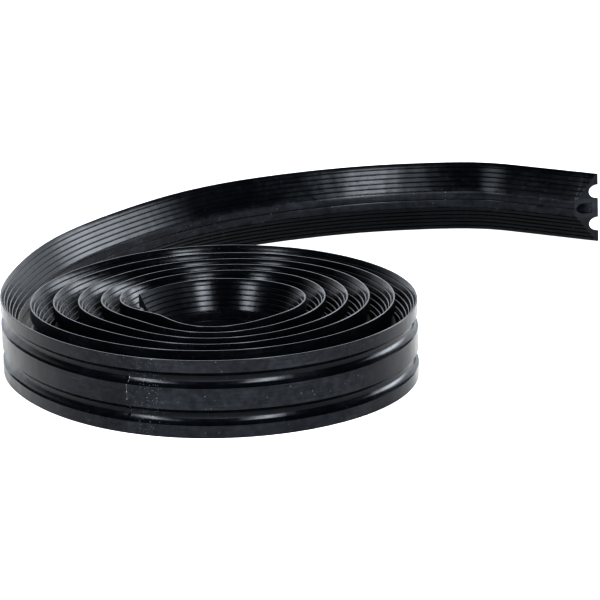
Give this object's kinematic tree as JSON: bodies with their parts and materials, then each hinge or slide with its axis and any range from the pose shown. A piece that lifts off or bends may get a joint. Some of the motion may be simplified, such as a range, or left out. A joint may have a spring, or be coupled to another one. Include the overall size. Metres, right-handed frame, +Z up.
{
  "type": "cable protector ramp",
  "caption": "Flexible rubber floor cable protector strip with three cable channels, standing on edge in a loose coil with a free tail that unrolls.",
  "frame": {"origin": "centre of the object's box, on the floor", "axes": "+Z up, across the strip's width; +X along the straight free end, pointing out of it; +Y the way the free end's flat base faces"},
  "size_m": [0.7788, 1.2718, 0.125],
  "materials": {
    "black_rubber": "satin"
  },
  "bodies": {
    "wound_coil": {"coil_half_turn_01": "black_rubber", "coil_half_turn_02": "black_rubber", "coil_half_turn_03": "black_rubber", "coil_half_turn_04": "black_rubber", "coil_half_turn_05": "black_rubber", "coil_half_turn_06": "black_rubber", "coil_half_turn_07": "black_rubber", "coil_half_turn_08": "black_rubber", "coil_half_turn_09": "black_rubber", "coil_half_turn_10": "black_rubber", "coil_half_turn_11": "black_rubber"},
    "outer_turn_section_01": {"outer_turn_section_01": "black_rubber"},
    "outer_turn_section_02": {"outer_turn_section_02": "black_rubber"},
    "outer_turn_section_03": {"outer_turn_section_03": "black_rubber"},
    "outer_turn_section_04": {"outer_turn_section_04": "black_rubber"},
    "outer_turn_section_05": {"outer_turn_section_05": "black_rubber"},
    "outer_turn_section_06": {"outer_turn_section_06": "black_rubber"},
    "tail_section_01": {"tail_section_01": "black_rubber"},
    "tail_section_02": {"tail_section_02": "black_rubber"},
    "tail_section_03": {"tail_section_03": "black_rubber"},
    "tail_section_04": {"tail_section_04": "black_rubber"},
    "tail_section_05": {"tail_section_05": "black_rubber"},
    "tail_section_06": {"tail_section_06": "black_rubber"},
    "tail_section_07": {"tail_section_07": "black_rubber"},
    "free_end_section": {"free_end_section": "black_rubber"}
  },
  "joints": [
    {"name": "outer_turn_bend_01", "type": "hinge", "parent": "wound_coil", "child": "outer_turn_section_01", "pos_m": [0.3145, -0.12602, 0], "axis": [0, 0, 1], "range_deg": [0, 30]},
    {"name": "outer_turn_bend_02", "type": "hinge", "parent": "outer_turn_section_01", "child": "outer_turn_section_02", "pos_m": [0.38661, -0.28608, 0], "axis": [0, 0, 1], "range_deg": [0, 30]},
    {"name": "outer_turn_bend_03", "type": "hinge", "parent": "outer_turn_section_02", "child": "outer_turn_section_03", "pos_m": [0.36064, -0.46108, 0], "axis": [0, 0, 1], "range_deg": [0, 30]},
    {"name": "outer_turn_bend_04", "type": "hinge", "parent": "outer_turn_section_03", "child": "outer_turn_section_04", "pos_m": [0.24474, -0.59062, 0], "axis": [0, 0, 1], "range_deg": [0, 30]},
    {"name": "outer_turn_bend_05", "type": "hinge", "parent": "outer_turn_section_04", "child": "outer_turn_section_05", "pos_m": [0.08453, -0.63593, 0], "axis": [0, 0, 1], "range_deg": [0, 30]},
    {"name": "outer_turn_bend_06", "type": "hinge", "parent": "outer_turn_section_05", "child": "outer_turn_section_06", "pos_m": [-0.07079, -0.60461, 0], "axis": [0, 0, 1], "range_deg": [0, 30]},
    {"name": "tail_bend_01", "type": "hinge", "parent": "outer_turn_section_06", "child": "tail_section_01", "pos_m": [-0.20735, -0.51926, 0], "axis": [0, 0, 1], "range_deg": [-6, 18]},
    {"name": "tail_bend_02", "type": "hinge", "parent": "tail_section_01", "child": "tail_section_02", "pos_m": [-0.32367, -0.35119, 0], "axis": [0, 0, 1], "range_deg": [-6, 18]},
    {"name": "tail_bend_03", "type": "hinge", "parent": "tail_section_02", "child": "tail_section_03", "pos_m": [-0.38194, -0.15378, 0], "axis": [0, 0, 1], "range_deg": [-6, 18]},
    {"name": "tail_bend_04", "type": "hinge", "parent": "tail_section_03", "child": "tail_section_04", "pos_m": [-0.38323, 0.05172, 0], "axis": [0, 0, 1], "range_deg": [-6, 18]},
    {"name": "tail_bend_05", "type": "hinge", "parent": "tail_section_04", "child": "tail_section_05", "pos_m": [-0.33908, 0.25267, 0], "axis": [0, 0, 1], "range_deg": [-6, 18]},
    {"name": "tail_bend_06", "type": "hinge", "parent": "tail_section_05", "child": "tail_section_06", "pos_m": [-0.23058, 0.42683, 0], "axis": [0, 0, 1], "range_deg": [-6, 18]},
    {"name": "tail_bend_07", "type": "hinge", "parent": "tail_section_06", "child": "tail_section_07", "pos_m": [-0.07662, 0.56299, 0], "axis": [0, 0, 1], "range_deg": [-6, 18]},
    {"name": "tail_bend_08", "type": "hinge", "parent": "tail_section_07", "child": "free_end_section", "pos_m": [0.11294, 0.6359, 0], "axis": [0, 0, 1], "range_deg": [-6, 18]}
  ],
  "couplings": [
    {"joint": "outer_turn_bend_02", "follows": "outer_turn_bend_01", "ratio": 1},
    {"joint": "outer_turn_bend_03", "follows": "outer_turn_bend_01", "ratio": 1},
    {"joint": "outer_turn_bend_04", "follows": "outer_turn_bend_01", "ratio": 1},
    {"joint": "outer_turn_bend_05", "follows": "outer_turn_bend_01", "ratio": 1},
    {"joint": "outer_turn_bend_06", "follows": "outer_turn_bend_01", "ratio": 1},
    {"joint": "tail_bend_02", "follows": "tail_bend_01", "ratio": 1},
    {"joint": "tail_bend_03", "follows": "tail_bend_01", "ratio": 1},
    {"joint": "tail_bend_04", "follows": "tail_bend_01", "ratio": 1},
    {"joint": "tail_bend_05", "follows": "tail_bend_01", "ratio": 1},
    {"joint": "tail_bend_06", "follows": "tail_bend_01", "ratio": 1},
    {"joint": "tail_bend_07", "follows": "tail_bend_01", "ratio": 1},
    {"joint": "tail_bend_08", "follows": "tail_bend_01", "ratio": 1}
  ]
}
